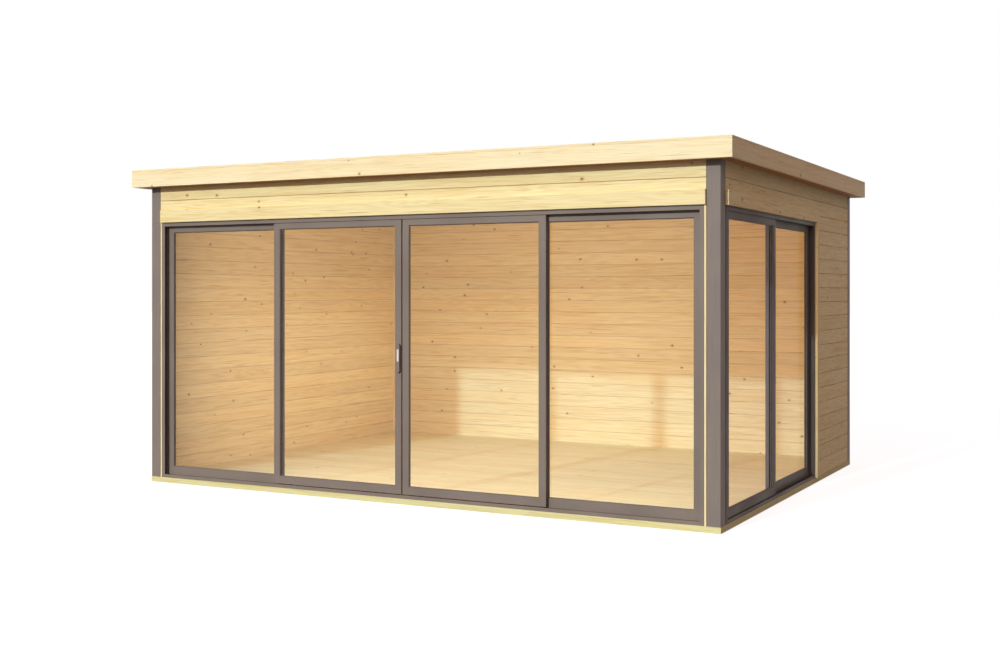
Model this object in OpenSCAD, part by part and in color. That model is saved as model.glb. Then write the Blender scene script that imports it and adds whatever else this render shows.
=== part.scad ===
// Flat-roofed garden room: two wooden walls, sliding glass walls at the front and on the right.
// Millimetres, +Z up, front towards -Y. The origin is on the ground at the centre of the outline.

/* [House] */
// Width over the corner posts
house_w = 4628; // [4200:2:5200]
// Depth over the corner posts
house_d = 3540; // [3200:10:4200]
// Height of the header boards that show between the door frames and the eaves
header_h = 275; // [230:5:400]
// How far the roof stands out past the posts
overhang = 105; // [60:5:200]
// Side of a square corner post
post_w = 94; // [70:1:120]
// Bevel along a corner post's edges
post_bevel = 4; // [1:0.5:8]
// Thickness of the wall boards
wall_t = 28; // [19:1:45]

/* [Base and floor] */
// Height of the base beams
base_h = 40; // [34:1:70]
// Width of the base beams
base_w = 120; // [100:5:160]
// Thickness of the floor
floor_t = 19; // [15:1:24]
// Height of the floor's top above the base beams
floor_rise = 10; // [5:1:14]
// Gap between the floor's edge and what it lies against
floor_gap = 2; // [1:1:8]
// Width of a floor bearer
bearer_w = 60; // [40:5:100]
// Distance from bearer to bearer
bearer_pitch = 600; // [400:10:800]

/* [Sliding glass walls] */
// Height of a door frame above the base beams
frame_h = 1985; // [1900:5:2050]
// Width of the frame's face
frame_face = 30; // [24:1:45]
// Thickness of the frame's outer walls
lip_t = 3; // [2:0.5:5]
// Thickness of the wall between the two tracks
fin_t = 2; // [1.5:0.5:4]
// Wooden strip between a post and a door frame
strip_w = 12; // [8:1:30]
// How far the side wall's front strip lies back from the frame's face
strip_set = 6; // [0:1:12]
// Height of the threshold's outer edge
sill_h = 25; // [22:1:40]
// Height of the two running rails above the base beams
rail_h = 20; // [12:1:21]
// Thickness of a running rail
rail_t = 3; // [2:0.5:4]

/* [Sashes] */
// Thickness of a sash
sash_t = 24; // [20:1:40]
// Width of a plain stile
stile_w = 53; // [45:1:80]
// Width of an interlocking stile, which two sashes share as overlap
lock_w = 54; // [45:1:80]
// Height of a sliding sash's bottom rail
bottom_rail_h = 55; // [50:1:120]
// Height of a sash's top rail
top_rail_h = 57; // [40:1:90]
// How far a sash reaches up into the head, or sideways into a jamb
sash_bite = 10; // [6:1:14]
// Gap between the two sliding sashes that meet at the front
centre_gap = 10; // [6:1:20]
// Clearance between a moving sash and the frame
run_gap = 5; // [5:0.5:8]
// Thickness of an interlocking fin
hook_t = 3; // [2:0.5:5]
// Thickness of the glass
glass_t = 6; // [4:1:10]
// Distance from a sash's face to its glass
glass_set = 11; // [5:1:12]
// Depth of the groove that holds the glass
glass_groove = 10; // [6:1:15]
// Bevel round the glass
bevel = 3; // [1:0.5:5]

/* [Rollers] */
// Radius of a roller where it runs on the rail
roller_r = 16; // [13:0.5:17]
// Width of a roller
roller_w = 8; // [6:0.5:12]
// Height of a roller's flanges
flange_h = 3; // [2:0.5:5]
// Radius of a roller's axle
axle_r = 3; // [2:0.5:4]
// Distance from a sash's end to its roller
roller_inset = 150; // [100:10:300]
// Metal left over an axle's ends, at each face of the sash
axle_cover = 4; // [3:0.5:6]
// Length of a guide block on top of a sliding sash
guide_l = 40; // [20:5:80]

/* [Pull handle] */
// Width of the handle's plate
handle_w = 28; // [24:1:44]
// Height of the handle's plate
handle_h = 203; // [140:1:300]
// How far the handle stands out from the sash
handle_t = 20; // [14:1:26]
// Rounding of the handle's outer edge
handle_round = 4; // [1:0.5:5]
// Middle of the handle above the ground
handle_z = 1021; // [800:1:1200]
// Middle of the handle from the sash's edge
handle_inset = 17.5; // [14:0.5:30]
// Width of the finger slot
slot_w = 11; // [8:1:18]
// Height of the finger slot
slot_h = 86; // [60:1:110]
// Depth of the finger slot
slot_d = 10; // [4:1:12]
// Middle of the slot above the middle of the handle
slot_rise = 20; // [0:1:24]

/* [Trim] */
// Height of the head trim over the doors
trim_h = 96; // [60:1:140]
// Thickness of the trim boards
trim_t = 20; // [12:1:28]
// Width of the upright casing behind the side door
casing_w = 60; // [40:1:90]
// How far the casing covers the frame's face
casing_lap = 11; // [5:1:14]

/* [Roof] */
// Height of a joist between the walls
joist_h = 140; // [100:5:200]
// Height of a joist over the walls and in the eaves
joist_seat_h = 70; // [45:1:90]
// Thickness of a joist
joist_t = 45; // [35:1:60]
// Distance from joist to joist
joist_pitch = 600; // [400:10:700]
// Thickness of the roof boards
deck_t = 18; // [15:1:24]
// Thickness of the roof covering
cover_t = 3; // [1:0.5:5]
// Height of the covering's turned-up edge
cover_rim = 12; // [8:1:30]
// Thickness of the fascia boards
fascia_t = 20; // [15:1:28]
// Thickness of the soffit boards
soffit_t = 16; // [12:1:22]
// Height of the lath on top of the fascia
lath_h = 18; // [12:1:30]
// Width of the lath on top of the fascia
lath_w = 40; // [30:1:60]
// Depth of the lintel beams behind the header boards
lintel_t = 62; // [45:1:62]

/* [Hidden] */

$fn = 48;
eps = 1;
half_w = house_w / 2;
half_d = house_d / 2;

// Clearances: a seat, a clipped joint, a part that slides along a face, a wheel in its pocket, an
// axle in its bore
seat = 0.3;
clip = 0.2;
slide = 0.5;
wheel_play = 2;
side_play = 1;
bore_play = 0.1;

// Heights
floor_top = base_h + floor_rise;
ledge_z = floor_top - floor_t;
frame_top = base_h + frame_h;
eave_z = frame_top + header_h;
head_z = frame_top - frame_face;
rail_top = base_h + rail_h;
sash_z = base_h + sill_h + run_gap;
sash_top = head_z + sash_bite;
glass_low = sash_z + bottom_rail_h;
glass_high = sash_top - top_rail_h;
wall_top = eave_z + soffit_t;
deck_z = wall_top + joist_seat_h;
joist_z = deck_z - joist_h;
deck_top = deck_z + deck_t;
fascia_top = deck_top + cover_rim;

// The threshold's inner edge is level with the floor, and never lower than its own plate
inner_edge_h = max(floor_rise, 2 * lip_t);

// Depths from the frame's face: the outer sash, the inner sash, the whole frame
track_gap = 2 * run_gap + fin_t;
outer_t = lip_t + run_gap;
inner_t = outer_t + sash_t + track_gap;
frame_depth = inner_t + sash_t + run_gap + lip_t;
hook_l = track_gap - run_gap;

// The three walls of a head or a jamb, each as its depth from the face and its thickness
channel_walls = [[0, lip_t], [outer_t + sash_t + run_gap, fin_t], [frame_depth - lip_t, lip_t]];

// Rollers: the axle's height, the flanges' radius, and the two faces of the wheel in the sash
axle_z = rail_top + seat + roller_r;
wheel_r = roller_r + flange_h;
roller_t0 = (sash_t - roller_w) / 2;
roller_t1 = (sash_t + roller_w) / 2;

// Places along a wall, from its front or left corner
frame_s = post_w + strip_w;
front_end = house_w - frame_s;
clear_s = frame_s + frame_face;
panel_w = (house_w - 2 * clear_s + 2 * lock_w - centre_gap) / 4;
second_s = clear_s + panel_w - lock_w;
side_clear_end = second_s + panel_w;
side_end = side_clear_end + frame_face;

// Roof outline
roof_x = half_w + overhang;
roof_y = half_d + overhang;
inner_x = roof_x - fascia_t;
inner_y = roof_y - fascia_t;

spruce = [0.93, 0.83, 0.62];
treated = [0.83, 0.80, 0.55];
boards = [0.88, 0.77, 0.57];
grey = [0.50, 0.46, 0.44];
dark_grey = [0.42, 0.39, 0.38];
pane = [0.80, 0.88, 0.90, 0.35];
nylon = [0.25, 0.25, 0.26];
felt = [0.22, 0.22, 0.23];

// Places of equal pitch, centred on zero, that fit in a half span
function even_places(half_span, pitch) =
    let (n = floor(half_span / pitch)) [for (k = [-n : n]) k * pitch];

// Wall coordinates: s along the wall, t inwards from its outer face
module on_front() {
    translate([-half_w, -half_d, 0]) children();
}

module on_side() {
    translate([half_w, -half_d, 0]) rotate(90) children();
}

module block(s0, s1, t0, t1, z0, z1) {
    translate([s0, t0, z0]) cube([s1 - s0, t1 - t0, z1 - z0]);
}

// A profile of t and z, run along s
module along(s0, s1) {
    translate([s0, 0, 0]) rotate([90, 0, 90]) linear_extrude(s1 - s0) children();
}

// Base and floor

module floor_plan(gap) {
    difference() {
        translate([-half_w + wall_t + gap, -half_d + frame_depth + gap])
            square([house_w - 2 * (wall_t + gap), house_d - frame_depth - wall_t - 2 * gap]);
        for (x = [-1, 1], y = [-1, 1])
            translate([x * (half_w - (post_w + gap) / 2), y * (half_d - (post_w + gap) / 2)])
                square(post_w + gap, center = true);
        translate([half_w - frame_depth - gap, -half_d])
            square([frame_depth + gap, side_end + strip_w + gap]);
    }
}

module floor_recess() {
    translate([0, 0, ledge_z]) linear_extrude(base_h) floor_plan(0);
}

module base_long_beams() {
    color(treated) difference() {
        for (y = [-half_d, half_d - base_w])
            translate([-half_w, y, 0]) cube([house_w, base_w, base_h]);
        floor_recess();
    }
}

module base_short_beams() {
    color(treated) difference() {
        for (x = [-half_w, half_w - base_w])
            translate([x, -half_d + base_w, 0]) cube([base_w, house_d - 2 * base_w, base_h]);
        floor_recess();
    }
}

module floor_bearers() {
    color(treated) for (x = even_places(half_w - base_w - bearer_w, bearer_pitch))
        translate([x - bearer_w / 2, -half_d + base_w, 0])
            cube([bearer_w, house_d - 2 * base_w, ledge_z]);
}

module floor() {
    color(boards) translate([0, 0, ledge_z]) linear_extrude(floor_t) floor_plan(floor_gap);
}

// Posts, walls and trim

module bevelled_square(side, cut) {
    far = side - cut;
    polygon([[cut, 0], [far, 0], [side, cut], [side, far], [far, side], [cut, side], [0, far], [0, cut]]);
}

module posts_at(y) {
    color(grey) for (x = [-half_w, half_w - post_w])
        translate([x, y, base_h]) linear_extrude(wall_top - base_h)
            bevelled_square(post_w, post_bevel);
}

module front_posts() {
    posts_at(-half_d);
}

module back_posts() {
    posts_at(half_d - post_w);
}

module wall_left() {
    color(spruce) translate([-half_w, -half_d + post_w, base_h])
        cube([wall_t, house_d - 2 * post_w, wall_top - base_h]);
}

module wall_back() {
    color(spruce) translate([-half_w + post_w, half_d - wall_t, base_h])
        cube([house_w - 2 * post_w, wall_t, wall_top - base_h]);
}

module wall_right() {
    color(spruce) on_side()
        block(side_end + strip_w, house_d - post_w, 0, wall_t, base_h, frame_top);
}

module header_front() {
    color(spruce) on_front()
        block(post_w, house_w - post_w, 0, wall_t, frame_top, wall_top);
}

module header_right() {
    color(spruce) on_side()
        block(post_w, house_d - post_w, 0, wall_t, frame_top, wall_top);
}

module lintel_front() {
    color(spruce) on_front()
        block(post_w, house_w - post_w, wall_t, wall_t + lintel_t, frame_top, joist_z);
}

module lintel_right() {
    color(spruce) on_side()
        block(post_w, side_end + strip_w, wall_t, wall_t + lintel_t, frame_top, joist_z);
}

module head_trims() {
    color(spruce) {
        on_front() block(frame_s, house_w - post_w, -trim_t, 0, frame_top, frame_top + trim_h);
        on_side() block(post_w, side_end - casing_lap, -trim_t, 0, frame_top, frame_top + trim_h);
    }
}

module door_casing() {
    color(spruce) on_side()
        block(side_end - casing_lap, side_end - casing_lap + casing_w, -trim_t, 0,
              base_h, frame_top + trim_h);
}

module jamb_studs() {
    color(spruce) {
        on_front() for (s = [post_w, front_end])
            block(s, s + strip_w, 0, frame_depth, base_h, frame_top);
        on_side() {
            block(post_w, frame_s, strip_set, frame_depth, base_h, frame_top);
            block(side_end, side_end + strip_w, 0, frame_depth, base_h, frame_top);
        }
    }
}

// Door frames, each a flat plate with the walls and rails that clip on to it: a head with three
// downstands, a threshold with two rails between its edges, two channel jambs

module head_profile() {
    wall_h = frame_face - lip_t - clip;
    translate([0, frame_top - lip_t]) square([frame_depth, lip_t]);
    for (w = channel_walls)
        translate([w[0], head_z]) square([w[1], wall_h]);
}

module threshold_profile() {
    foot = lip_t + clip;
    translate([0, base_h]) square([frame_depth, lip_t]);
    translate([0, base_h + foot]) square([lip_t, sill_h - foot]);
    translate([frame_depth - lip_t, base_h + foot]) square([lip_t, inner_edge_h - foot]);
    for (t = [outer_t, inner_t])
        translate([t + (sash_t - rail_t) / 2, base_h + foot]) square([rail_t, rail_h - foot]);
}

module jamb_profile() {
    foot = lip_t + clip;
    square([lip_t, frame_depth]);
    for (w = channel_walls)
        translate([foot, w[0]]) square([frame_face - foot, w[1]]);
}

module jambs(s0, s1) {
    translate([s0, 0, base_h]) linear_extrude(frame_h) jamb_profile();
    translate([s1, 0, base_h]) mirror([1, 0, 0]) linear_extrude(frame_h) jamb_profile();
}

module front_head() {
    color(grey) on_front() along(clear_s, house_w - clear_s) head_profile();
}

module front_threshold() {
    color(grey) on_front() along(clear_s, house_w - clear_s) threshold_profile();
}

module front_jambs() {
    color(grey) on_front() jambs(frame_s, front_end);
}

module side_head() {
    color(dark_grey) on_side() along(clear_s, side_clear_end) head_profile();
}

module side_threshold() {
    color(dark_grey) on_side() along(clear_s, side_clear_end) threshold_profile();
}

module side_jambs() {
    color(dark_grey) on_side() jambs(frame_s, side_end);
}

// Sashes. A sash is drawn from s0 to s1 with the interlock on its s1 side, and mirrored for
// the other hand. Its depth starts at t = 0 and the caller moves it to its track.

// Bevel on the four inner edges of a sash's face
module glass_bevel(a, b) {
    r = bevel * sqrt(2);
    for (z = [glass_low, glass_high])
        translate([a, 0, z]) rotate([45, 0, 0]) translate([0, -r / 2, -r / 2]) cube([b - a, r, r]);
    for (s = [a, b])
        translate([s, 0, glass_low]) rotate(45) translate([-r / 2, -r / 2, 0])
            cube([r, r, glass_high - glass_low]);
}

module sash(s0, s1, z0, edge_w) {
    difference() {
        block(s0, s1, 0, sash_t, z0, sash_top);
        block(s0 + edge_w, s1 - lock_w, -eps, sash_t + eps, glass_low, glass_high);
        block(s0 + edge_w - glass_groove, s1 - lock_w + glass_groove,
              glass_set - seat, glass_set + glass_t + seat,
              glass_low - glass_groove, glass_high + glass_groove);
        glass_bevel(s0 + edge_w, s1 - lock_w);
    }
}

module pane(s0, s1, edge_w) {
    grow = glass_groove - seat;
    block(s0 + edge_w - grow, s1 - lock_w + grow, glass_set, glass_set + glass_t,
          glass_low - grow, glass_high + grow);
}

// The fin of a fixed sash points outwards, that of a sliding one inwards. Shut, they lie side by
// side with the running gap between them.
module hook(s1, t0) {
    end = s1 - (lock_w + run_gap) / 2;
    block(end - hook_t, end, t0, t0 + hook_l, sash_z, head_z - run_gap);
}

module fixed_hook(s1) {
    hook(s1, -hook_l);
}

module sliding_hook(s1) {
    hook(s1, sash_t);
}

// Roller places along a sash
function roller_places(s0, s1) = [s0 + roller_inset, s1 - roller_inset];

module roller_pockets(s0, s1) {
    half_l = wheel_r + wheel_play;
    for (s = roller_places(s0, s1)) {
        block(s - half_l, s + half_l, roller_t0 - side_play, roller_t1 + side_play,
              sash_z - eps, axle_z + half_l);
        translate([s, axle_cover, axle_z]) rotate([-90, 0, 0])
            cylinder(r = axle_r + bore_play, h = sash_t - 2 * axle_cover);
    }
}

// Wheel with two flanges that straddle the rail, turned in one piece with its axle
module roller() {
    axle_t0 = axle_cover + seat;
    axle_t1 = sash_t - axle_cover - seat;
    tread_t0 = (sash_t - rail_t) / 2 - slide;
    tread_t1 = (sash_t + rail_t) / 2 + slide;
    rotate([-90, 0, 0]) rotate_extrude() polygon([
        [0, axle_t0], [axle_r, axle_t0], [axle_r, roller_t0],
        [wheel_r, roller_t0], [wheel_r, tread_t0], [roller_r, tread_t0],
        [roller_r, tread_t1], [wheel_r, tread_t1], [wheel_r, roller_t1],
        [axle_r, roller_t1], [axle_r, axle_t1], [0, axle_t1]]);
}

module rollers(s0, s1) {
    for (s = roller_places(s0, s1))
        translate([s, 0, axle_z]) roller();
}

// Blocks that run between the head's downstands
module top_guides(s0, s1) {
    for (s = roller_places(s0, s1))
        block(s - guide_l / 2, s + guide_l / 2, -run_gap + slide, sash_t + run_gap - slide,
              sash_top - eps, sash_top + run_gap);
}

module sliding_sash(s0, s1) {
    difference() {
        union() {
            sash(s0, s1, sash_z, stile_w);
            top_guides(s0, s1);
            sliding_hook(s1);
        }
        roller_pockets(s0, s1);
    }
}

module fixed_sash(s0, s1) {
    sash(s0, s1, rail_top, stile_w + sash_bite);
    fixed_hook(s1);
}

// Tracks and hands

module outer_track() {
    translate([0, outer_t, 0]) children();
}

module inner_track() {
    translate([0, inner_t, 0]) children();
}

module hand(centre) {
    translate([centre, 0, 0]) mirror([1, 0, 0]) translate([-centre, 0, 0]) children();
}

module front_fixed_sashes() {
    color(grey) on_front() inner_track() {
        fixed_sash(clear_s - sash_bite, clear_s + panel_w);
        hand(half_w) fixed_sash(clear_s - sash_bite, clear_s + panel_w);
    }
}

module front_fixed_glass() {
    color(pane) on_front() inner_track() {
        pane(clear_s - sash_bite, clear_s + panel_w, stile_w + sash_bite);
        hand(half_w) pane(clear_s - sash_bite, clear_s + panel_w, stile_w + sash_bite);
    }
}

module side_fixed_sash() {
    color(dark_grey) on_side() inner_track() hand((clear_s + side_clear_end) / 2)
        fixed_sash(clear_s - sash_bite, clear_s + panel_w);
}

module side_fixed_glass() {
    color(pane) on_side() inner_track() hand((clear_s + side_clear_end) / 2)
        pane(clear_s - sash_bite, clear_s + panel_w, stile_w + sash_bite);
}

// A sliding front sash, drawn for the left door: its interlock is on the left
module as_left_door() {
    on_front() outer_track() hand(second_s + panel_w / 2) children();
}

module as_right_door() {
    on_front() hand(half_w) outer_track() hand(second_s + panel_w / 2) children();
}

module as_side_door() {
    on_side() outer_track() children();
}

module left_door_sash() {
    color(grey) as_left_door() sliding_sash(second_s, second_s + panel_w);
}

module left_door_glass() {
    color(pane) as_left_door() pane(second_s, second_s + panel_w, stile_w);
}

module left_door_rollers() {
    color(nylon) as_left_door() rollers(second_s, second_s + panel_w);
}

module right_door_sash() {
    color(grey) as_right_door() sliding_sash(second_s, second_s + panel_w);
}

module right_door_glass() {
    color(pane) as_right_door() pane(second_s, second_s + panel_w, stile_w);
}

module right_door_rollers() {
    color(nylon) as_right_door() rollers(second_s, second_s + panel_w);
}

module side_door_sash() {
    color(dark_grey) as_side_door() sliding_sash(clear_s, clear_s + panel_w);
}

module side_door_glass() {
    color(pane) as_side_door() pane(clear_s, clear_s + panel_w, stile_w);
}

module side_door_rollers() {
    color(nylon) as_side_door() rollers(clear_s, clear_s + panel_w);
}

// Section of a flat bar whose two outer corners are rounded
module bar_section(w, t, edge) {
    translate([-w / 2, 0]) square([w, t - edge]);
    translate([edge - w / 2, 0]) square([w - 2 * edge, t]);
    for (x = [edge - w / 2, w / 2 - edge])
        translate([x, t - edge]) circle(edge);
}

// Upright bar with round ends, run towards the front
module grip(w, h, t, edge) {
    straight = h - w;
    rotate([90, 0, 0]) {
        translate([0, straight / 2, 0]) rotate([90, 0, 0]) linear_extrude(straight)
            bar_section(w, t, edge);
        for (z = [-1, 1])
            translate([0, z * straight / 2, 0]) rotate_extrude() intersection() {
                bar_section(w, t, edge);
                square([w, t]);
            }
    }
}

// Slot with round ends, cut to a depth of t
module finger_slot(w, h, t) {
    rotate([90, 0, 0]) linear_extrude(t) {
        square([w, h - w], center = true);
        for (z = [-1, 1])
            translate([0, z * (h - w) / 2]) circle(d = w);
    }
}

module pull_handle() {
    color(dark_grey) on_front() outer_track()
        translate([second_s + panel_w - handle_inset, 0, handle_z]) difference() {
            grip(handle_w, handle_h, handle_t, handle_round);
            translate([0, slot_d - handle_t, slot_rise])
                finger_slot(slot_w, slot_h, slot_d + eps);
        }
}

// Roof

// A joist's side: deep between the walls, stepped up over them to the fascia
module joist_profile() {
    in_front = -half_d + wall_t;
    in_back = half_d - wall_t;
    polygon([[-inner_y, wall_top], [in_front, wall_top], [in_front, joist_z], [in_back, joist_z],
             [in_back, wall_top], [inner_y, wall_top], [inner_y, deck_z], [-inner_y, deck_z]]);
}

module roof_joists() {
    color(spruce) for (x = even_places(half_w - post_w - joist_t, joist_pitch))
        translate([x + joist_t / 2, 0, 0]) rotate([0, 0, 180]) rotate([90, 0, -90])
            linear_extrude(joist_t) joist_profile();
}

// The outer joist lies on the wall and carries short lookouts under the side eaves
module eave_ladder() {
    translate([half_w - joist_t, -inner_y, wall_top]) cube([joist_t, 2 * inner_y, joist_seat_h]);
    for (y = concat([-inner_y + joist_t / 2, inner_y - joist_t / 2],
                    even_places(half_d - joist_t, joist_pitch)))
        translate([half_w - eps, y - joist_t / 2, wall_top])
            cube([inner_x - half_w + eps, joist_t, joist_seat_h]);
}

module eave_ladders() {
    color(spruce) {
        eave_ladder();
        mirror([1, 0, 0]) eave_ladder();
    }
}

module roof_deck() {
    color(boards) translate([-inner_x, -inner_y, deck_z]) cube([2 * inner_x, 2 * inner_y, deck_t]);
}

module roof_covering() {
    color(felt) translate([0, 0, deck_top]) difference() {
        translate([-inner_x, -inner_y, 0]) cube([2 * inner_x, 2 * inner_y, cover_rim]);
        translate([-inner_x + cover_t, -inner_y + cover_t, cover_t])
            cube([2 * (inner_x - cover_t), 2 * (inner_y - cover_t), cover_rim]);
    }
}

module fascia_long() {
    color(spruce) for (y = [-roof_y, inner_y])
        translate([-roof_x, y, eave_z]) cube([2 * roof_x, fascia_t, fascia_top - eave_z]);
}

module fascia_short() {
    color(spruce) for (x = [-roof_x, inner_x])
        translate([x, -inner_y, eave_z]) cube([fascia_t, 2 * inner_y, fascia_top - eave_z]);
}

module soffit() {
    color(boards) translate([0, 0, eave_z]) difference() {
        translate([-inner_x, -inner_y, 0]) cube([2 * inner_x, 2 * inner_y, soffit_t]);
        translate([-half_w, -half_d, -eps]) cube([house_w, house_d, soffit_t + 2 * eps]);
    }
}

module edge_lath() {
    color(spruce) translate([0, 0, fascia_top]) difference() {
        translate([-roof_x, -roof_y, 0]) cube([2 * roof_x, 2 * roof_y, lath_h]);
        translate([-roof_x + lath_w, -roof_y + lath_w, -eps])
            cube([2 * (roof_x - lath_w), 2 * (roof_y - lath_w), lath_h + 2 * eps]);
    }
}

base_long_beams();
base_short_beams();
floor_bearers();
floor();
front_posts();
back_posts();
wall_left();
wall_back();
wall_right();
header_front();
header_right();
lintel_front();
lintel_right();
head_trims();
door_casing();
jamb_studs();
front_head();
front_threshold();
front_jambs();
side_head();
side_threshold();
side_jambs();
front_fixed_sashes();
front_fixed_glass();
side_fixed_sash();
side_fixed_glass();
left_door_sash();
left_door_glass();
left_door_rollers();
pull_handle();
right_door_sash();
right_door_glass();
right_door_rollers();
side_door_sash();
side_door_glass();
side_door_rollers();
roof_joists();
eave_ladders();
roof_deck();
roof_covering();
fascia_long();
fascia_short();
soffit();
edge_lath();
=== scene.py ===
"""Garden room with sliding glass walls: its boards, finishes, seals, camera and light."""
import math
import random

import bmesh
import bpy
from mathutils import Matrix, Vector

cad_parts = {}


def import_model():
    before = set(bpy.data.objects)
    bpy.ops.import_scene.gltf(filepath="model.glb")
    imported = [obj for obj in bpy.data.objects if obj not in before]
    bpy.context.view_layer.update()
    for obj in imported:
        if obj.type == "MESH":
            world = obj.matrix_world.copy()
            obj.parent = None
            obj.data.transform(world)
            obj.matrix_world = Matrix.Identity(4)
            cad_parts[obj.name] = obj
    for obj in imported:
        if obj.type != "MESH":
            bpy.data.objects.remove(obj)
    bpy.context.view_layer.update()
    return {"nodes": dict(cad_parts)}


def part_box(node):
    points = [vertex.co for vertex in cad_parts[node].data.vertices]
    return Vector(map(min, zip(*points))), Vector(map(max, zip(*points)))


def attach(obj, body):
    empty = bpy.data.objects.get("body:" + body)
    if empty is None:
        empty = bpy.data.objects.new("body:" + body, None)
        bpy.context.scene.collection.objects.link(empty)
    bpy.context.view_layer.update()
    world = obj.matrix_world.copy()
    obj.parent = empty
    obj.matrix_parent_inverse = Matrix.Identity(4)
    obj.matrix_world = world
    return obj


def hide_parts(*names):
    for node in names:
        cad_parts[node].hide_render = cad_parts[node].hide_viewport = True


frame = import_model()
NODES = frame["nodes"]

# Places read from the frame, in metres

FRONT_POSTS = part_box("front_posts")
WALL_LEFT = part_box("wall_left")
WALL_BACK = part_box("wall_back")
WALL_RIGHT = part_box("wall_right")
HEADER_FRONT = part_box("header_front")
HEADER_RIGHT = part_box("header_right")
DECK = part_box("roof_deck")
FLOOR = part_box("floor")
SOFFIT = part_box("soffit")
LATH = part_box("edge_lath")

HALF_W = FRONT_POSTS[1].x
HALF_D = -FRONT_POSTS[0].y
POST_W = FRONT_POSTS[1].y - FRONT_POSTS[0].y
WALL_T = WALL_LEFT[1].x - WALL_LEFT[0].x

# Wall boards: the joints lie one cover width apart, all round the house, with a V outside and a
# smaller one in the room. A course is at least THINNEST high.
COVER = 0.1128
FIRST_JOINT = 0.1648
JOINT_GAP = 0.0003
OUTER_V = 0.0034
INNER_V = 0.0018
THINNEST = 0.005

# Trim boards over the doors: bevels in front and against the wall
TRIM_V = 0.002
TRIM_BACK_V = 0.0004
TRIM_SEEDS = (0.31, 0.73)

# Floor boards: their gap to walls and posts, the bevel of their joints, the least bevel, which keeps
# corners apart, and the least strip that is cut round a post
FLOOR_COVER = 0.113
FLOOR_GAP = 0.002
FLOOR_V = 0.0012
HAIR = 0.00001
THINNEST_STRIP = 0.004

# Roof edge
LATH_W = 0.040
LATH_V = 0.002
SOFFIT_V = 0.001

# Seals: how far their outer edge lies inside the pane's edge, and their width and height
GROOVE = 0.0097
SEAL_W = 0.004
SEAL_PROUD = 0.0022

# The handle's finger slot, and the corners of its cup's outline
SLOT_W = 0.011
SLOT_H = 0.086
SLOT_RISE = 0.020
SLOT_SIDES = 32

random.seed(11)


# Colours

def srgb(r, g, b):
    """A colour as it is seen on a screen, 0 to 255, as linear red, green, blue and alpha."""
    def linear(c):
        c /= 255
        return c / 12.92 if c <= 0.04045 else ((c + 0.055) / 1.055) ** 2.4
    return linear(r), linear(g), linear(b), 1.0


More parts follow.
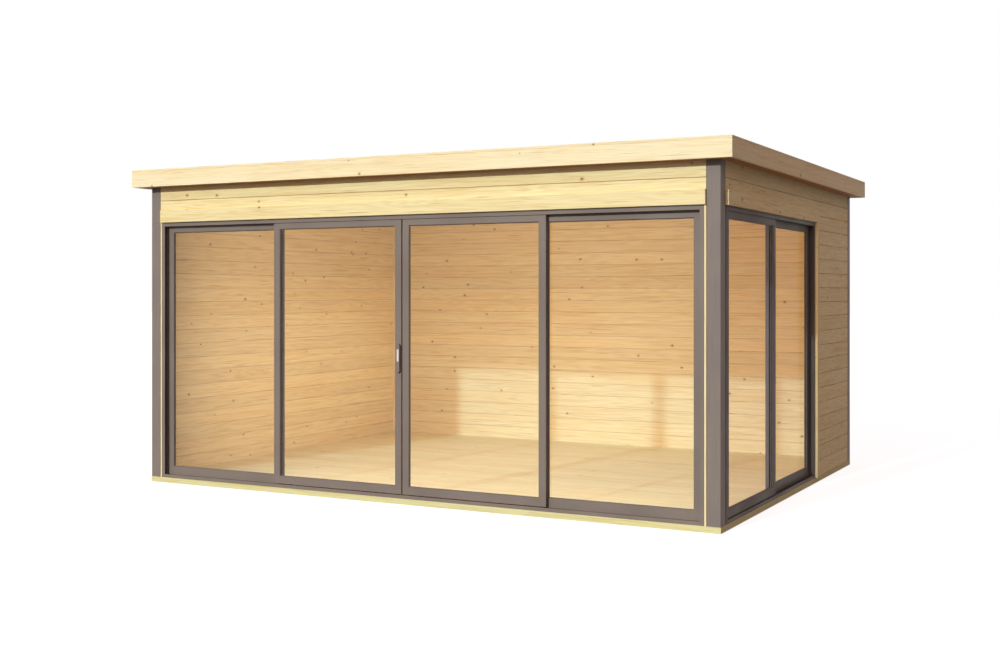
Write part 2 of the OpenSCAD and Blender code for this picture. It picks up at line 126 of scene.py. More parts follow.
class Graph:
    """The node tree of a new material or world. Most methods add a node and return its output."""

    def __init__(self, name, world=False):
        self.owner = (bpy.data.worlds if world else bpy.data.materials).new(name)
        self.owner.use_nodes = True
        self.tree = self.owner.node_tree
        self.tree.nodes.clear()
        self.output = self.node("OutputWorld" if world else "OutputMaterial")

    def node(self, kind, **settings):
        made = self.tree.nodes.new("ShaderNode" + kind)
        for name, value in settings.items():
            setattr(made, name, value)
        return made

    def put(self, value, socket):
        """Links a socket, or sets a plain value."""
        if isinstance(value, bpy.types.NodeSocket):
            self.tree.links.new(value, socket)
        else:
            socket.default_value = value

    def math(self, operation, a, b=0.0, clamp=False):
        made = self.node("Math", operation=operation, use_clamp=clamp)
        self.put(a, made.inputs[0])
        self.put(b, made.inputs[1])
        return made.outputs[0]

    def vector(self, x, y, z):
        made = self.node("CombineXYZ")
        for value, socket in zip((x, y, z), made.inputs):
            self.put(value, socket)
        return made.outputs[0]

    def place(self):
        """The three coordinates of the point, in metres, in the piece's own frame."""
        coordinates = self.node("TexCoord").outputs["Object"]
        made = self.node("SeparateXYZ")
        self.put(coordinates, made.inputs[0])
        return made.outputs

    def mark(self, name):
        """A number that Boards writes on its corners: a board's own seed, or how far a point lies
        into the joint. It is 0 on a piece that isn't boarded."""
        return self.node("Attribute", attribute_name=name).outputs["Fac"]

    def noise(self, vector, scale, detail=2.0, rough=0.5):
        made = self.node("TexNoise")
        self.put(vector, made.inputs["Vector"])
        for name, value in (("Scale", scale), ("Detail", detail), ("Roughness", rough)):
            made.inputs[name].default_value = value
        return made.outputs["Fac"]

    def cells(self, vector, scale):
        """Distance to the nearest scattered point of a plane, and that point's random colour."""
        made = self.node("TexVoronoi", voronoi_dimensions="2D")
        self.put(vector, made.inputs["Vector"])
        made.inputs["Scale"].default_value = scale
        split = self.node("SeparateColor")
        self.put(made.outputs["Color"], split.inputs[0])
        return made.outputs["Distance"], split.outputs

    def span(self, value, low, high, to_low=0.0, to_high=1.0, smooth=True):
        """Maps low to high onto to_low to to_high."""
        made = self.node("MapRange", interpolation_type="SMOOTHSTEP" if smooth else "LINEAR")
        for number, given in enumerate((value, low, high, to_low, to_high)):
            self.put(given, made.inputs[number])
        return made.outputs[0]

    def mix(self, share, a, b, blend="MIX"):
        made = self.node("Mix", data_type="RGBA", blend_type=blend)
        self.put(share, made.inputs["Factor"])
        self.put(a, made.inputs["A"])
        self.put(b, made.inputs["B"])
        return made.outputs["Result"]

    def bump(self, height, distance, strength=1.0):
        made = self.node("Bump")
        self.put(height, made.inputs["Height"])
        made.inputs["Distance"].default_value = distance
        made.inputs["Strength"].default_value = strength
        return made.outputs["Normal"]

    def principled(self, colour, roughness, normal=None, **values):
        made = self.node("BsdfPrincipled")
        self.put(colour, made.inputs["Base Color"])
        self.put(roughness, made.inputs["Roughness"])
        if normal is not None:
            self.put(normal, made.inputs["Normal"])
        for name, value in values.items():
            made.inputs[name.replace("_", " ")].default_value = value
        return made.outputs["BSDF"]

    def shader(self, kind, **values):
        """A plain shader with the same values all over, or with linked ones."""
        made = self.node(kind)
        for name, value in values.items():
            self.put(value, made.inputs[name])
        return made.outputs[0]

    def choose(self, share, a, b):
        """Shader a where share is 0, and shader b where it is 1."""
        made = self.node("MixShader")
        for value, socket in zip((share, a, b), made.inputs):
            self.put(value, socket)
        return made.outputs[0]

    def direct_sight(self):
        """1 for rays of the camera, and for what it sees in metal and through glass."""
        path = self.node("LightPath").outputs
        share = path["Is Camera Ray"]
        for name in ("Is Glossy Ray", "Is Transmission Ray"):
            share = self.math("MAXIMUM", share, path[name])
        return self.math("MULTIPLY", share, self.math("LESS_THAN", path["Diffuse Depth"], 0.5))

    def finish(self, shader):
        self.put(shader, self.output.inputs["Surface"])
        return self.owner


def link(made):
    bpy.context.scene.collection.objects.link(made)


# Materials

# Which coordinate runs along, across and into a board, for each direction of its fibres
GRAIN = {"x": (0, 2, 1), "y": (1, 2, 0), "z": (2, 0, 1), "floor": (0, 1, 2)}

RESIN = srgb(178, 130, 78)
KNOT_HALO = srgb(176, 118, 66)
KNOT_CORE = srgb(84, 52, 30)
# Painted shade in the V joints between boards
JOINT_PAINTED_SHADE = srgb(150, 84, 36)
WARMTH = (1.0, 0.955, 0.89, 1.0)
DUST = srgb(176, 160, 138)


def wood(name, grain, pale, deep, knots=0.55, knot_size=1.0, rough=0.6):
    """Planed softwood. grain is the direction that the fibres run in, as a key of GRAIN, and knots
    the share of places that have one."""
    g = Graph(name)
    point = g.place()
    along, across, depth = (point[k] for k in GRAIN[grain])
    if grain == "z":
        across = g.math("ADD", across, depth)
    seed = g.mark("seed")
    along = g.math("ADD", along, g.math("MULTIPLY", seed, 37.0))
    across = g.math("ADD", across, g.math("MULTIPLY", seed, 5.3))

    # Knots: one point a cell, kept where its random number allows. Each has a dark core and a
    # paler halo.
    cell_scale = 4.2
    distance, chance = g.cells(g.vector(g.math("MULTIPLY", along, 0.8), across, 0.0), cell_scale)
    metres = g.math("DIVIDE", distance, cell_scale)
    kept = g.math("LESS_THAN", chance[0], knots)
    radius = g.span(chance[1], 0.0, 1.0, 0.0028 * knot_size, 0.0075 * knot_size, smooth=False)
    core = g.math("MULTIPLY", g.span(metres, radius, g.math("MULTIPLY", radius, 0.55)), kept)
    halo = g.math("MULTIPLY", g.span(metres, g.math("MULTIPLY", radius, 3.2), radius), kept)

    # Growth rings: contour lines of a field drawn out along the grain, bent round the knots
    field = g.noise(g.vector(g.math("MULTIPLY", along, 0.55), g.math("MULTIPLY", across, 9.0),
                             g.math("MULTIPLY", depth, 9.0)), 1.0, detail=2.5, rough=0.45)
    field = g.math("ADD", field, g.math("MULTIPLY", halo, 0.045))
    rings = g.math("SINE", g.math("MULTIPLY", field, 95.0))
    rings = g.span(rings, -0.6, 1.0)
    fibre = g.noise(g.vector(g.math("MULTIPLY", along, 9.0), g.math("MULTIPLY", across, 420.0),
                             g.math("MULTIPLY", depth, 420.0)), 1.0, detail=3.0, rough=0.6)
    streak = g.noise(g.vector(g.math("MULTIPLY", along, 1.3), g.math("MULTIPLY", across, 46.0),
                              g.math("MULTIPLY", depth, 46.0)), 1.0, detail=3.0, rough=0.55)
    stain = g.noise(g.vector(g.math("MULTIPLY", along, 0.9), g.math("MULTIPLY", across, 4.0), seed),
                    1.0, detail=1.5)
    resin = g.noise(g.vector(g.math("MULTIPLY", along, 3.2), g.math("MULTIPLY", across, 170.0),
                             seed), 1.0, detail=1.0)

    # Colour: grain, fibres, warm stains, resin streaks, the board's own tone, knots, and painted
    # shade in the joints
    grain_share = g.math("ADD", g.math("MULTIPLY", rings, 0.42),
                         g.math("MULTIPLY", g.span(streak, 0.42, 0.72), 0.58))
    grain_share = g.math("MULTIPLY", grain_share, 0.5, clamp=True)
    colour = g.mix(grain_share, pale, deep)
    colour = g.mix(g.span(fibre, 0.35, 0.75, 0.0, 0.24), colour, deep)
    warm = g.mix(1.0, colour, WARMTH, "MULTIPLY")
    colour = g.mix(g.span(stain, 0.38, 0.68, 0.0, 0.9), colour, warm)
    colour = g.mix(g.span(resin, 0.62, 0.78, 0.0, 0.55), colour, RESIN)
    tint = g.node("TexWhiteNoise", noise_dimensions="1D")
    g.put(g.math("MULTIPLY", seed, 91.7), tint.inputs["W"])
    level = g.span(tint.outputs["Value"], 0.0, 1.0, 0.93, 1.03, smooth=False)
    colour = g.mix(1.0, colour, g.vector(level, level, level), "MULTIPLY")
    colour = g.mix(g.math("MULTIPLY", halo, 0.45), colour, KNOT_HALO)
    colour = g.mix(g.math("MULTIPLY", core, 0.9), colour, KNOT_CORE)
    # Painted shade in the V joints, darkest at their deep corners and broken up along the board
    groove_shade_breakup = g.noise(g.vector(g.math("MULTIPLY", along, 2.6), seed, 0.0), 1.0, detail=2.0)
    painted_groove_shade = g.math("MULTIPLY", g.span(g.mark("joint"), 0.0, 0.6),
                    g.span(groove_shade_breakup, 0.35, 0.7, 0.3, 0.85))
    colour = g.mix(painted_groove_shade, colour, JOINT_PAINTED_SHADE)

    height = g.math("SUBTRACT", g.math("MULTIPLY", fibre, 0.5), g.math("MULTIPLY", rings, 0.5))
    height = g.math("SUBTRACT", height, core)
    roughness = g.span(fibre, 0.3, 0.7, rough - 0.06, rough + 0.1)
    return g.finish(g.principled(colour, roughness, g.bump(height, 0.0005, 0.6),
                                 Specular_IOR_Level=0.12))


def painted_wood(name, colour, darker, bare=None):
    """Grey paint on planed posts, through which the upright grain shows faintly. bare is the colour
    of the faces that look into the room, where those are left unpainted."""
    g = Graph(name)
    x, y, z = g.place()
    across = g.math("ADD", x, y)
    grain = g.noise(g.vector(g.math("MULTIPLY", across, 160.0), g.math("MULTIPLY", z, 3.0), 0.0),
                    1.0, detail=4.0, rough=0.6)
    cloud = g.noise(g.vector(across, z, 0.0), 3.0, detail=3.0)
    tone = g.mix(g.span(grain, 0.35, 0.7, 0.0, 0.35), colour, darker)
    tone = g.mix(g.span(cloud, 0.35, 0.7, 0.0, 0.3), tone, darker)
    if bare:
        inside = g.math("MULTIPLY", g.math("LESS_THAN", g.math("ABSOLUTE", x), HALF_W - WALL_T),
                        g.math("LESS_THAN", g.math("ABSOLUTE", y), HALF_D - WALL_T))
        tone = g.mix(inside, tone, g.mix(g.span(grain, 0.35, 0.7), bare, SPRUCE_DEEP))
    return g.finish(g.principled(tone, g.span(grain, 0.3, 0.7, 0.5, 0.66),
                                 g.bump(grain, 0.0004, 0.5), Specular_IOR_Level=0.2))


def powder_coat(name, colour, darker, specular=0.22):
    """Fine-textured powder coat on aluminium."""
    g = Graph(name)
    x, y, z = g.place()
    point = g.vector(x, y, z)
    fine = g.noise(point, 1400.0, detail=2.0)
    cloud = g.noise(point, 2.2, detail=3.0)
    specks = g.noise(point, 9.0, detail=4.0)
    dust = g.math("MULTIPLY", g.span(z, 0.16, 0.04), g.span(specks, 0.3, 0.8))
    tone = g.mix(g.span(cloud, 0.35, 0.7, 0.0, 0.35), colour, darker)
    tone = g.mix(g.math("MULTIPLY", dust, 0.10), tone, DUST)
    return g.finish(g.principled(tone, g.span(cloud, 0.3, 0.7, 0.45, 0.58),
                                 g.bump(fine, 0.00012, 0.35), Specular_IOR_Level=specular))


def clear_glass(name, index, tint, daylight):
    """Window glass. index sets how much it mirrors and tint what is seen through it. The lamps, and
    light from matt surfaces, go straight through, tinted by daylight at each face."""
    g = Graph(name)
    x, y, z = g.place()
    film = g.noise(g.vector(x, y, z), 3.0, detail=4.0)
    glass = g.principled(tint, g.span(film, 0.4, 0.8, 0.0, 0.012), Transmission_Weight=1.0,
                         IOR=index)
    path = g.node("LightPath").outputs
    straight = g.math("MAXIMUM", path["Is Shadow Ray"], path["Is Diffuse Ray"])
    return g.finish(g.choose(straight, glass, g.shader("BsdfTransparent", Color=daylight)))


def rubber(name, colour, paler, scale=260.0):
    """Matt rubber with a fine, uneven skin."""
    g = Graph(name)
    x, y, z = g.place()
    point = g.vector(x, y, z)
    fine = g.noise(point, scale, detail=3.0)
    cloud = g.noise(point, 1.7, detail=4.0)
    tone = g.mix(g.span(cloud, 0.35, 0.7, 0.0, 0.6), colour, paler)
    height = g.math("ADD", g.math("MULTIPLY", fine, 0.2), cloud)
    return g.finish(g.principled(tone, g.span(fine, 0.3, 0.7, 0.6, 0.8),
                                 g.bump(height, 0.002, 0.3)))


def brushed_metal(name, colour, darker):
    """Satin metal with upright brush lines."""
    g = Graph(name)
    x, y, z = g.place()
    lines = g.noise(g.vector(g.math("MULTIPLY", x, 1800.0), g.math("MULTIPLY", y, 1800.0),
                             g.math("MULTIPLY", z, 25.0)), 1.0, detail=3.0)
    tone = g.mix(g.span(lines, 0.3, 0.7), colour, darker)
    return g.finish(g.principled(tone, g.span(lines, 0.3, 0.7, 0.3, 0.46),
                                 g.bump(lines, 0.00008, 0.4), Metallic=1.0))


SPRUCE_PALE = srgb(251, 230, 178)
SPRUCE_DEEP = srgb(222, 184, 118)
FLOOR_PALE = srgb(247, 236, 189)
FLOOR_DEEP = srgb(220, 197, 142)
TREATED_PALE = srgb(234, 222, 168)
TREATED_DEEP = srgb(198, 180, 118)
FASCIA_PALE = srgb(253, 235, 197)
FASCIA_DEEP = srgb(234, 202, 149)
FASCIA_SIDE_PALE = srgb(248, 226, 184)
FASCIA_SIDE_DEEP = srgb(224, 190, 138)
# Darker wood: painted shade under the eave on the soffit; the roof boards use it too
DARK_WOOD_PALE = srgb(184, 130, 88)
DARK_WOOD_DEEP = srgb(146, 96, 60)
GREY = srgb(136, 122, 114)
GREY_DARK = srgb(116, 103, 96)
COAT = srgb(131, 115, 106)
COAT_DARK = srgb(111, 97, 90)
# The side doors' coat is the same grey drawn darker: painted shade on the frames that face away from
# the sun
COAT_PAINTED_SHADE = srgb(110, 99, 92)
COAT_PAINTED_SHADE_DARK = srgb(96, 86, 80)

# Glass: what is seen through a pane, and the daylight that goes through each of its faces
TINT = (0.985, 0.995, 0.99, 1.0)
# The side panes' tint is darker: painted shade on the room as seen through them
SIDE_TINT_PAINTED_SHADE = (0.91, 0.86, 0.87, 1.0)
DAYLIGHT = (0.56, 0.68, 0.80, 1.0)
SIDE_DAYLIGHT = (1.0, 0.93, 0.84, 1.0)

SPRUCE_X = wood("spruce_along_x", "x", SPRUCE_PALE, SPRUCE_DEEP)
SPRUCE_Y = wood("spruce_along_y", "y", SPRUCE_PALE, SPRUCE_DEEP, knots=0.45, knot_size=0.9)
SPRUCE_Z = wood("spruce_upright", "z", SPRUCE_PALE, SPRUCE_DEEP, knots=0.3, knot_size=0.7)
FLOOR_WOOD = wood("floor_wood", "floor", FLOOR_PALE, FLOOR_DEEP, knots=0.35, rough=0.5)
TREATED_X = wood("treated_along_x", "x", TREATED_PALE, TREATED_DEEP, knots=0.3, rough=0.72)
TREATED_Y = wood("treated_along_y", "y", TREATED_PALE, TREATED_DEEP, knots=0.3, rough=0.72)
POST_PAINT = painted_wood("post_paint", GREY, GREY_DARK)
BACK_POST_PAINT = painted_wood("back_post_paint", GREY, GREY_DARK, SPRUCE_PALE)
DOOR_COAT = powder_coat("door_coat", COAT, COAT_DARK)
# A darker copy of the door coat with less sheen: painted shade for the side doors
SIDE_COAT_PAINTED_SHADE = powder_coat("side_door_coat_painted_shade", COAT_PAINTED_SHADE, COAT_PAINTED_SHADE_DARK, specular=0.08)
FASCIA_X = wood("fascia_along_x", "x", FASCIA_PALE, FASCIA_DEEP, knots=0.85, knot_size=0.8)
FASCIA_Y = wood("fascia_along_y", "y", FASCIA_SIDE_PALE, FASCIA_SIDE_DEEP, knots=0.5)
GLASS = clear_glass("clear_glass", 1.35, TINT, DAYLIGHT)
# A darker-tinted copy of the glass for the side: painted shade through the side panes
SIDE_GLASS_PAINTED_SHADE = clear_glass("side_glass_painted_shade", 1.03, SIDE_TINT_PAINTED_SHADE, SIDE_DAYLIGHT)
# The darker wood, a painted shade on the soffit under the eave
DARK_WOOD_X = wood("dark_wood_along_x", "x", DARK_WOOD_PALE, DARK_WOOD_DEEP, knots=0.3)
DARK_WOOD_Y = wood("dark_wood_along_y", "y", DARK_WOOD_PALE, DARK_WOOD_DEEP, knots=0.3)
SEAL = rubber("grey_seal", srgb(112, 101, 94), srgb(126, 114, 106), 900.0)
ROOF_SHEET = rubber("roof_sheet", srgb(52, 53, 56), srgb(78, 79, 82))
SATIN = brushed_metal("satin_metal", srgb(236, 226, 219), srgb(212, 201, 194))
NYLON = rubber("nylon", srgb(40, 40, 42), srgb(60, 60, 63), 700.0)

CAD_FINISH = {
    "base_long_beams": TREATED_X, "base_short_beams": TREATED_Y, "floor_bearers": TREATED_Y,
    "front_posts": POST_PAINT, "back_posts": BACK_POST_PAINT,
    "lintel_front": SPRUCE_X, "lintel_right": SPRUCE_Y,
    "door_casing": SPRUCE_Z, "jamb_studs": SPRUCE_Z,
    "front_head": DOOR_COAT, "front_threshold": DOOR_COAT, "front_jambs": DOOR_COAT,
    "side_head": SIDE_COAT_PAINTED_SHADE, "side_threshold": SIDE_COAT_PAINTED_SHADE, "side_jambs": SIDE_COAT_PAINTED_SHADE,
    "side_fixed_sash": SIDE_COAT_PAINTED_SHADE, "side_door_sash": SIDE_COAT_PAINTED_SHADE,
    "front_fixed_sashes": DOOR_COAT, "left_door_sash": DOOR_COAT, "right_door_sash": DOOR_COAT,
    "front_fixed_glass": GLASS, "left_door_glass": GLASS, "right_door_glass": GLASS,
    "side_fixed_glass": SIDE_GLASS_PAINTED_SHADE, "side_door_glass": SIDE_GLASS_PAINTED_SHADE,
    "left_door_rollers": NYLON, "right_door_rollers": NYLON, "side_door_rollers": NYLON,
    "pull_handle": DOOR_COAT,
    "roof_joists": SPRUCE_Y, "eave_ladders": SPRUCE_Y, "roof_covering": ROOF_SHEET,
    "fascia_long": FASCIA_X, "fascia_short": FASCIA_Y,
}

# Width of the rounding of a node's edges, in metres
BEVELS = {
    "front_posts": 0.0008, "back_posts": 0.0008, "door_casing": 0.002, "jamb_studs": 0.001,
    "base_long_beams": 0.002, "base_short_beams": 0.002,
    "fascia_long": 0.0022, "fascia_short": 0.0022,
    "front_head": 0.0006, "front_threshold": 0.0006, "front_jambs": 0.0006, "side_head": 0.0006,
    "side_threshold": 0.0006, "side_jambs": 0.0006, "front_fixed_sashes": 0.0008,
    "side_fixed_sash": 0.0008, "left_door_sash": 0.0008, "right_door_sash": 0.0008,
    "side_door_sash": 0.0008, "roof_joists": 0.002, "eave_ladders": 0.002,
    "lintel_front": 0.002, "lintel_right": 0.002,
}


def dress(name, material):
    """Gives a CAD node its finish, and rounds its edges where BEVELS says."""
    node = NODES[name]
    node.data.materials.clear()
    node.data.materials.append(material)
    if name in BEVELS:
        bevel = node.modifiers.new("edges", "BEVEL")
        bevel.width = BEVELS[name]
        bevel.segments = 2
        bevel.limit_method = "ANGLE"
        bevel.angle_limit = math.radians(35)
        bevel.use_clamp_overlap = True
        bevel.harden_normals = True


def add_piece(name, mesh, material, body, nodes=()):
    """Turns a bmesh into a piece that rides on a body, in the place of the given CAD nodes."""
    bmesh.ops.recalc_face_normals(mesh, faces=mesh.faces)
    data = bpy.data.meshes.new(name)
    mesh.to_mesh(data)
    mesh.free()
    data.materials.append(material)
    made = bpy.data.objects.new(name, data)
    link(made)
    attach(made, body)
    if nodes:
        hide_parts(*nodes)


# Boards: closed prisms, each with a number of its own that the wood reads

class Boards:
    """Collects boards in one mesh, and turns it into a piece."""

    def __init__(self):
        self.mesh = bmesh.new()
        self.seed = self.mesh.verts.layers.float.new("seed")
        self.joint = self.mesh.verts.layers.float.new("joint")

    def prism(self, start, end, number, deep=()):
        """A board from one outline to another: two lists of points that go round the same way.
        deep holds the places in the outline of the corners that lie in a joint."""
        rings = [[self.mesh.verts.new(p) for p in ring] for ring in (start, end)]
        for vertex in rings[0] + rings[1]:
            vertex[self.seed] = number
        for ring in rings:
            for k in deep:
                ring[k][self.joint] = 1.0
        count = len(start)
        for k in range(count):
            j = (k + 1) % count
            self.mesh.faces.new((rings[0][k], rings[0][j], rings[1][j], rings[1][k]))
        self.mesh.faces.new(rings[0][::-1])
        self.mesh.faces.new(rings[1])

    def along_x(self, outline, x0, x1, number, deep=()):
        """outline is a list of y and z."""
        self.prism([(x0, y, z) for y, z in outline], [(x1, y, z) for y, z in outline], number, deep)

    def along_y(self, outline, y0, y1, number, deep=()):
        """outline is a list of x and z."""
        self.prism([(x, y0, z) for x, z in outline], [(x, y1, z) for x, z in outline], number, deep)

    def piece(self, name, material, body, slot, *nodes):
        add_piece(name, self.mesh, material, body, nodes)


def board_section(outer, inner, low, high, outer_v, inner_v):
    """Outline of a board with bevelled edges, as points of depth and height.
    outer and inner are the depths of its two faces."""
    way = 1 if inner > outer else -1
    return [(outer, low + outer_v), (outer + way * outer_v, low), (inner - way * inner_v, low),
            (inner, low + inner_v), (inner, high - inner_v), (inner - way * inner_v, high),
            (outer + way * outer_v, high), (outer, high - outer_v)]


def courses(low, high):
    """Lowest and highest edge of each course of boards between two heights."""
    edges = [low]
    joint = FIRST_JOINT
    while joint < high:
        if joint > low + THINNEST:
            edges.append(joint)
        joint += COVER
    edges.append(high)
    return [(a, b - (JOINT_GAP if b < high else 0.0)) for a, b in zip(edges, edges[1:])]


def board_wall(name, low, high, outer, inner, start, end, along, *nodes):
    """A wall of boards between two heights and two ends. along is x or y."""
    made = Boards()
    put = made.along_x if along == "x" else made.along_y
    for bottom, top in courses(low, high):
        deep = ((1, 2) if bottom > low else ()) + ((5, 6) if top < high else ())
        section = board_section(outer, inner, bottom, top, OUTER_V, INNER_V)
        put(section, start, end, random.random(), deep)
    material = SPRUCE_X if along == "x" else SPRUCE_Y
    made.piece(name, material, "house", "spruce", *nodes)


def walls():
    lo, hi = WALL_LEFT
    board_wall("boards_left", lo.z, hi.z, lo.x, hi.x, lo.y, hi.y, "y", "wall_left")
    lo, hi = WALL_BACK
    board_wall("boards_back", lo.z, hi.z, hi.y, lo.y, lo.x, hi.x, "x", "wall_back")
    lo, hi = WALL_RIGHT
    board_wall("boards_right", lo.z, hi.z, hi.x, lo.x, lo.y, hi.y, "y", "wall_right")
    lo, hi = HEADER_FRONT
    board_wall("boards_over_front", lo.z, hi.z, lo.y, hi.y, lo.x, hi.x, "x", "header_front")
    lo, hi = HEADER_RIGHT
    board_wall("boards_over_side", lo.z, hi.z, hi.x, lo.x, lo.y, hi.y, "y", "header_right")


def head_trims():
    """The two trim boards over the doors, one along each glazed wall."""
    lo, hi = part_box("head_trims")
    made = Boards()
    front = board_section(lo.y, HEADER_FRONT[0].y, lo.z, hi.z, TRIM_V, TRIM_BACK_V)
    made.along_x(front, lo.x, HEADER_FRONT[1].x, TRIM_SEEDS[0])
    made.piece("trim_over_front", SPRUCE_X, "house", "spruce", "head_trims")
    made = Boards()
    side = board_section(hi.x, HEADER_RIGHT[1].x, lo.z, hi.z, TRIM_V, TRIM_BACK_V)
    made.along_y(side, HEADER_RIGHT[0].y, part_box("door_casing")[0].y, TRIM_SEEDS[1])
    made.piece("trim_over_side", SPRUCE_Y, "house", "spruce")


def floor_boards():
    """Floor boards along the front, cut round the posts and the door frames."""
    lo, hi = FLOOR
    door_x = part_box("side_threshold")[0].x - FLOOR_GAP
    wall_x = HALF_W - WALL_T - FLOOR_GAP
    post_x = HALF_W - POST_W - FLOOR_GAP
    door_end = WALL_RIGHT[0].y + FLOOR_GAP
    post_y = HALF_D - POST_W - FLOOR_GAP
    breaks = sorted({-post_y, post_y, door_end})
    k = 0
    y = lo.y
    made = Boards()
    while y < hi.y - 1e-6:
        next_y = min(lo.y + (k + 1) * FLOOR_COVER, hi.y)
        number = random.random()
        inside = [b for b in breaks if y + THINNEST_STRIP < b < next_y - THINNEST_STRIP]
        cuts = [y] + inside + [next_y]
        for a, b in zip(cuts, cuts[1:]):
            middle = (a + b) / 2
            in_post = abs(middle) > post_y
            left = -post_x if in_post else -wall_x
            right = post_x if in_post else (door_x if middle < door_end else wall_x)
            v0 = (FLOOR_V if a == y else 0.0) + HAIR
            v1 = (FLOOR_V if b == next_y else 0.0) + HAIR
            outline = [(a, lo.z), (b, lo.z), (b, hi.z - v1), (b - v1, hi.z), (a + v0, hi.z),
                       (a, hi.z - v0)]
            made.along_x(outline, left, right, number)
        y = next_y
        k += 1
    made.piece("floor_boards", FLOOR_WOOD, "house", "floor_boards", "floor")


def roof_boards():
    """Roof boards with bevelled joints on their underside, laid across the joists."""
    lo, hi = DECK
    count = round((hi.y - lo.y) / COVER)
    width = (hi.y - lo.y) / count
    made = Boards()
    for k in range(count):
        a, b = lo.y + k * width, lo.y + (k + 1) * width - JOINT_GAP
        outline = [(a, hi.z), (a, lo.z + OUTER_V), (a + OUTER_V, lo.z), (b - OUTER_V, lo.z),
                   (b, lo.z + OUTER_V), (b, hi.z)]
        made.along_x(outline, lo.x, hi.x, random.random(), (2, 3))
    made.piece("roof_boards", DARK_WOOD_X, "house", "floor_boards", "roof_deck")


def mitred(made, side, outer, inner, low, high, v, number):
    """One side of a mitred ring. side 0 to 3 is front, right, back, left; outer and inner give the
    ring's two outlines as half sizes of x and y."""
    def corner(size, sign):
        x, y = size
        return [(sign * x, -y), (x, sign * y), (-sign * x, y), (-x, -sign * y)][side]
    def ring(sign):
        ox, oy = corner(outer, sign)
        ix, iy = corner(inner, sign)
        step = Vector((ix - ox, iy - oy))
        share = v / max(abs(step.x), 1e-9)
        v_out, v_in = step * share, step * (1 - share)
        return [(ox, oy, low + v), (ox + v_out.x, oy + v_out.y, low), (ix, iy, low),
                (ix, iy, high - v), (ox + v_in.x, oy + v_in.y, high),
                (ox + v_out.x, oy + v_out.y, high), (ox, oy, high - v)]
    made.prism(ring(-1), ring(1), number)


def ring_boards(name, box, inner, v, slot, node, finishes):
    """A ring of four mitred boards, as two pieces, so that each pair has its grain lengthwise."""
    lo, hi = box
    pairs = (("_long", (0, 2), (node,)), ("_short", (1, 3), ()))
    for (end, sides, replaced), material in zip(pairs, finishes):
        made = Boards()
        for side in sides:
            mitred(made, side, (hi.x, hi.y), inner, lo.z, hi.z, v, random.random())
        made.piece(name + end, material, "house", slot, *replaced)


def roof_edge():
    """The laths on the roof's edge, and the soffit."""
    ring_boards("edge_laths", LATH, (LATH[1].x - LATH_W, LATH[1].y - LATH_W), LATH_V, "spruce",
                "edge_lath", (FASCIA_X, FASCIA_Y))
    # The soffit boards are in the darker wood, a painted shade under the eave
    ring_boards("soffit_boards", SOFFIT, (HALF_W, HALF_D), SOFFIT_V, "floor_boards", "soffit",
                (DARK_WOOD_X, DARK_WOOD_Y))


# Seals round the glass, one frame on each face

def seal_ring(made, wall, low, high, face, out):
    """A rubber seal round one pane. wall is x or y, the axis that the pane runs along; low and high
    are the seal's outer corners in along and z; face is the glass's face and out points off it."""
    (a0, z0), (a1, z1) = low, high
    def point(a, z, d):
        depth = face + out * d
        return (a, depth, z) if wall == "x" else (depth, a, z)
    corners = [(a0, z0, 1, 1), (a1, z0, -1, 1), (a1, z1, -1, -1), (a0, z1, 1, -1)]
    section = [(0.0, 0.0), (0.0, SEAL_PROUD), (0.6 * SEAL_W, SEAL_PROUD),
               (SEAL_W, 0.25 * SEAL_PROUD), (SEAL_W, 0.0)]
    rings = [[made.mesh.verts.new(point(a + da * w, z + dz * w, d)) for w, d in section]
             for a, z, da, dz in corners]
    count = len(section)
    for k in range(4):
        for j in range(count):
            i = (j + 1) % count
            made.mesh.faces.new((rings[k][j], rings[k][i], rings[(k + 1) % 4][i],
                                 rings[(k + 1) % 4][j]))


def seals(name, glass, body, wall, panes=1):
    """Seals on both faces of the panes of one glass node, which has one pane or one at each end."""
    made = Boards()
    lo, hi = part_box(glass)
    a_lo, a_hi = (lo.x, hi.x) if wall == "x" else (lo.y, hi.y)
    pane_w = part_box("left_door_glass")[1].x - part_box("left_door_glass")[0].x
    spans = [(a_lo, a_hi)] if panes == 1 else [(a_lo, a_lo + pane_w), (a_hi - pane_w, a_hi)]
    faces = ((lo.y, -1), (hi.y, 1)) if wall == "x" else ((hi.x, 1), (lo.x, -1))
    for a0, a1 in spans:
        for face, out in faces:
            seal_ring(made, wall, (a0 + GROOVE, lo.z + GROOVE), (a1 - GROOVE, hi.z - GROOVE),
                      face, out)
    made.piece(name, SEAL, body, "nylon")


def slot_lining():
    """The polished cup in the handle's finger slot: a rim, a wall and a floor."""
    lo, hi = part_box("pull_handle")
    x, z = (lo.x + hi.x) / 2, (lo.z + hi.z) / 2 + SLOT_RISE
    straight = (SLOT_H - SLOT_W) / 2
    def outline(shrink, depth):
        radius = SLOT_W / 2 - shrink
        points = []
        for k in range(SLOT_SIDES):
            a = 2 * math.pi * (k + 0.5) / SLOT_SIDES
            end = straight if math.sin(a) > 0 else -straight
            points.append((x + radius * math.cos(a), lo.y + depth, z + end + radius * math.sin(a)))
        return points
    mesh = bmesh.new()
    # How far each ring of corners is shrunk from the slot's outline, and how deep it lies
    steps = ((0.0002, 0.0045), (0.0002, 0.0), (-0.0012, 0.0), (-0.0008, -0.0006),
             (0.0008, -0.0006), (0.0014, 0.0004), (0.0020, 0.0034), (0.0030, 0.0040))
    rings = [[mesh.verts.new(p) for p in outline(shrink, depth)] for shrink, depth in steps]
    for a, b in zip(rings, rings[1:]):
        for k in range(SLOT_SIDES):
            j = (k + 1) % SLOT_SIDES
            mesh.faces.new((a[k], a[j], b[j], b[k]))
    mesh.faces.new(rings[0])
    mesh.faces.new(rings[-1])
    add_piece("slot_lining", mesh, SATIN, "left_door")


# The stage

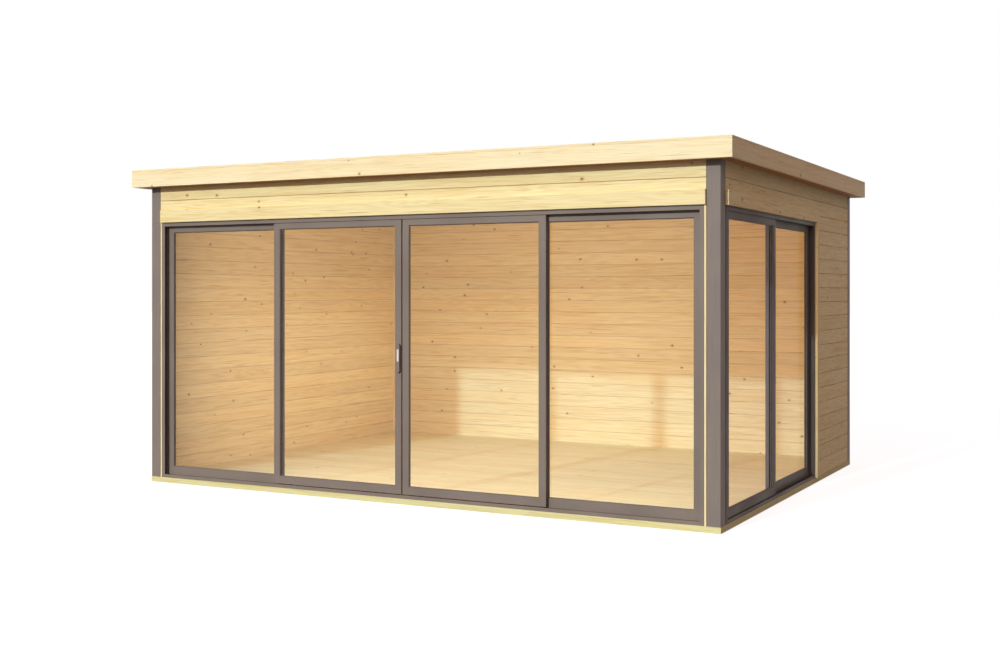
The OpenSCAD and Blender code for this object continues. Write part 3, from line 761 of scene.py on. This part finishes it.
GROUND_HALF = 60.0
GROUND_DROP = 0.0005
GROUND_LIT = (0.15, 0.145, 0.14, 1.0)
GROUND_SEEN = (0.40, 0.40, 0.40, 1.0)
GROUND_GLOW = 0.84

WORLD_BASE = 0.06
WORLD_FRONT = 0.90
WORLD_TOP = 0.55
FILL = (1.0, 0.74, 0.75, 1.0)
FRONT_FILL = (1.0, 0.95, 0.89, 1.0)
WHITE = (1.0, 1.0, 1.0, 1.0)

SUN_STRENGTH = 2.07
SUN_COLOUR = (1.0, 1.147, 1.129)
SUN_ANGLE = 1.9
SUN_WAY = Vector((0.167, 1.0, -0.355))

# Soft lamps inside the room, for the daylight through the glass and what the room throws back:
# place, turn in degrees, size and strength
GLOW_COLOUR = (1.0, 0.895, 0.815)
GLOW_INSET = 0.13
GLOWS = {
    "glow_front": ((0.25, -HALF_D + GLOW_INSET, 1.03), (90, 0, 0), (3.6, 1.80), 1.93),
    "glow_top": ((-0.3, 0.3, 1.45), (0, 0, 0), (3.0, 1.6), 0.60),
    "glow_left": ((0.5, -0.4, 1.50), (97, 0, 62), (1.6, 1.0), 1.19),
    "glow_side": ((HALF_W - GLOW_INSET, -0.62, 1.03), (90, 0, 90), (2.1, 1.85), 0.4),
}

# The photograph's view: level, from the right of the front, with a little downward shift
LENS = 45.38
SHIFT = -0.0413
EYE = (4.740, -9.230, 1.487)
HEADING = 27.951


def stage():
    """A plain pale floor that shows white and keeps the shadow."""
    data = bpy.data.meshes.new("ground")
    corners = ((-1, -1), (1, -1), (1, 1), (-1, 1))
    data.from_pydata([(x * GROUND_HALF, y * GROUND_HALF, 0) for x, y in corners], [],
                     [(0, 1, 2, 3)])
    ground = bpy.data.objects.new("ground", data)
    link(ground)
    ground.location.z = -GROUND_DROP
    g = Graph("ground_white")
    seen = g.node("AddShader")
    g.put(g.shader("BsdfDiffuse", Color=GROUND_SEEN), seen.inputs[0])
    g.put(g.shader("Emission", Strength=GROUND_GLOW), seen.inputs[1])
    lit = g.shader("BsdfDiffuse", Color=GROUND_LIT)
    data.materials.append(g.finish(g.choose(g.direct_sight(), lit, seen.outputs[0])))


def world():
    """White to look at. Its light is soft, and comes mostly from the front."""
    g = Graph("studio", world=True)
    way = g.node("SeparateXYZ")
    g.put(g.node("TexCoord").outputs["Generated"], way.inputs[0])
    front = g.math("MAXIMUM", g.math("MULTIPLY", way.outputs[1], -1.0), 0.0)
    front = g.math("MULTIPLY", front, front)
    top = g.math("MAXIMUM", way.outputs[2], 0.0)
    level = g.math("ADD", g.math("MULTIPLY", front, WORLD_FRONT),
                   g.math("MULTIPLY", top, WORLD_TOP))
    level = g.math("ADD", level, WORLD_BASE)
    fill = g.shader("Background", Color=g.mix(front, FILL, FRONT_FILL), Strength=level)
    white = g.shader("Background", Color=WHITE)
    bpy.context.scene.world = g.finish(g.choose(g.direct_sight(), fill, white))


def sun():
    data = bpy.data.lights.new("key", "SUN")
    data.energy = SUN_STRENGTH
    data.angle = math.radians(SUN_ANGLE)
    data.color = SUN_COLOUR
    lamp = bpy.data.objects.new("key", data)
    lamp.rotation_mode = "QUATERNION"
    lamp.rotation_quaternion = SUN_WAY.to_track_quat("-Z", "Y")
    link(lamp)


def window_glow(name, place, turn, size, radiance):
    """A soft warm lamp inside the room, which nothing shows but what it lights."""
    data = bpy.data.lights.new(name, "AREA")
    data.shape = "RECTANGLE"
    data.size, data.size_y = size
    data.energy = radiance * math.pi * size[0] * size[1]
    data.color = GLOW_COLOUR
    lamp = bpy.data.objects.new(name, data)
    lamp.location = place
    lamp.rotation_euler = [math.radians(angle) for angle in turn]
    lamp.visible_camera = lamp.visible_glossy = lamp.visible_transmission = False
    link(lamp)


def camera():
    data = bpy.data.cameras.new("view")
    data.sensor_width = 36.0
    data.lens = LENS
    data.shift_y = SHIFT
    data.clip_end = 200.0
    made = bpy.data.objects.new("view", data)
    made.location = EYE
    made.rotation_euler = (math.radians(90), 0.0, math.radians(HEADING))
    link(made)
    bpy.context.scene.camera = made


for cad_name, finish_material in CAD_FINISH.items():
    dress(cad_name, finish_material)

walls()
head_trims()
floor_boards()
roof_boards()
roof_edge()
seals("seals_front_fixed", "front_fixed_glass", "house", "x", panes=2)
seals("seals_side_fixed", "side_fixed_glass", "house", "y")
seals("seals_left_door", "left_door_glass", "left_door", "x")
seals("seals_right_door", "right_door_glass", "right_door", "x")
seals("seals_side_door", "side_door_glass", "side_door", "y")
slot_lining()

stage()
world()
sun()
for glow_name, glow in GLOWS.items():
    window_glow(glow_name, *glow)
camera()
bpy.context.scene.view_settings.view_transform = "Standard"
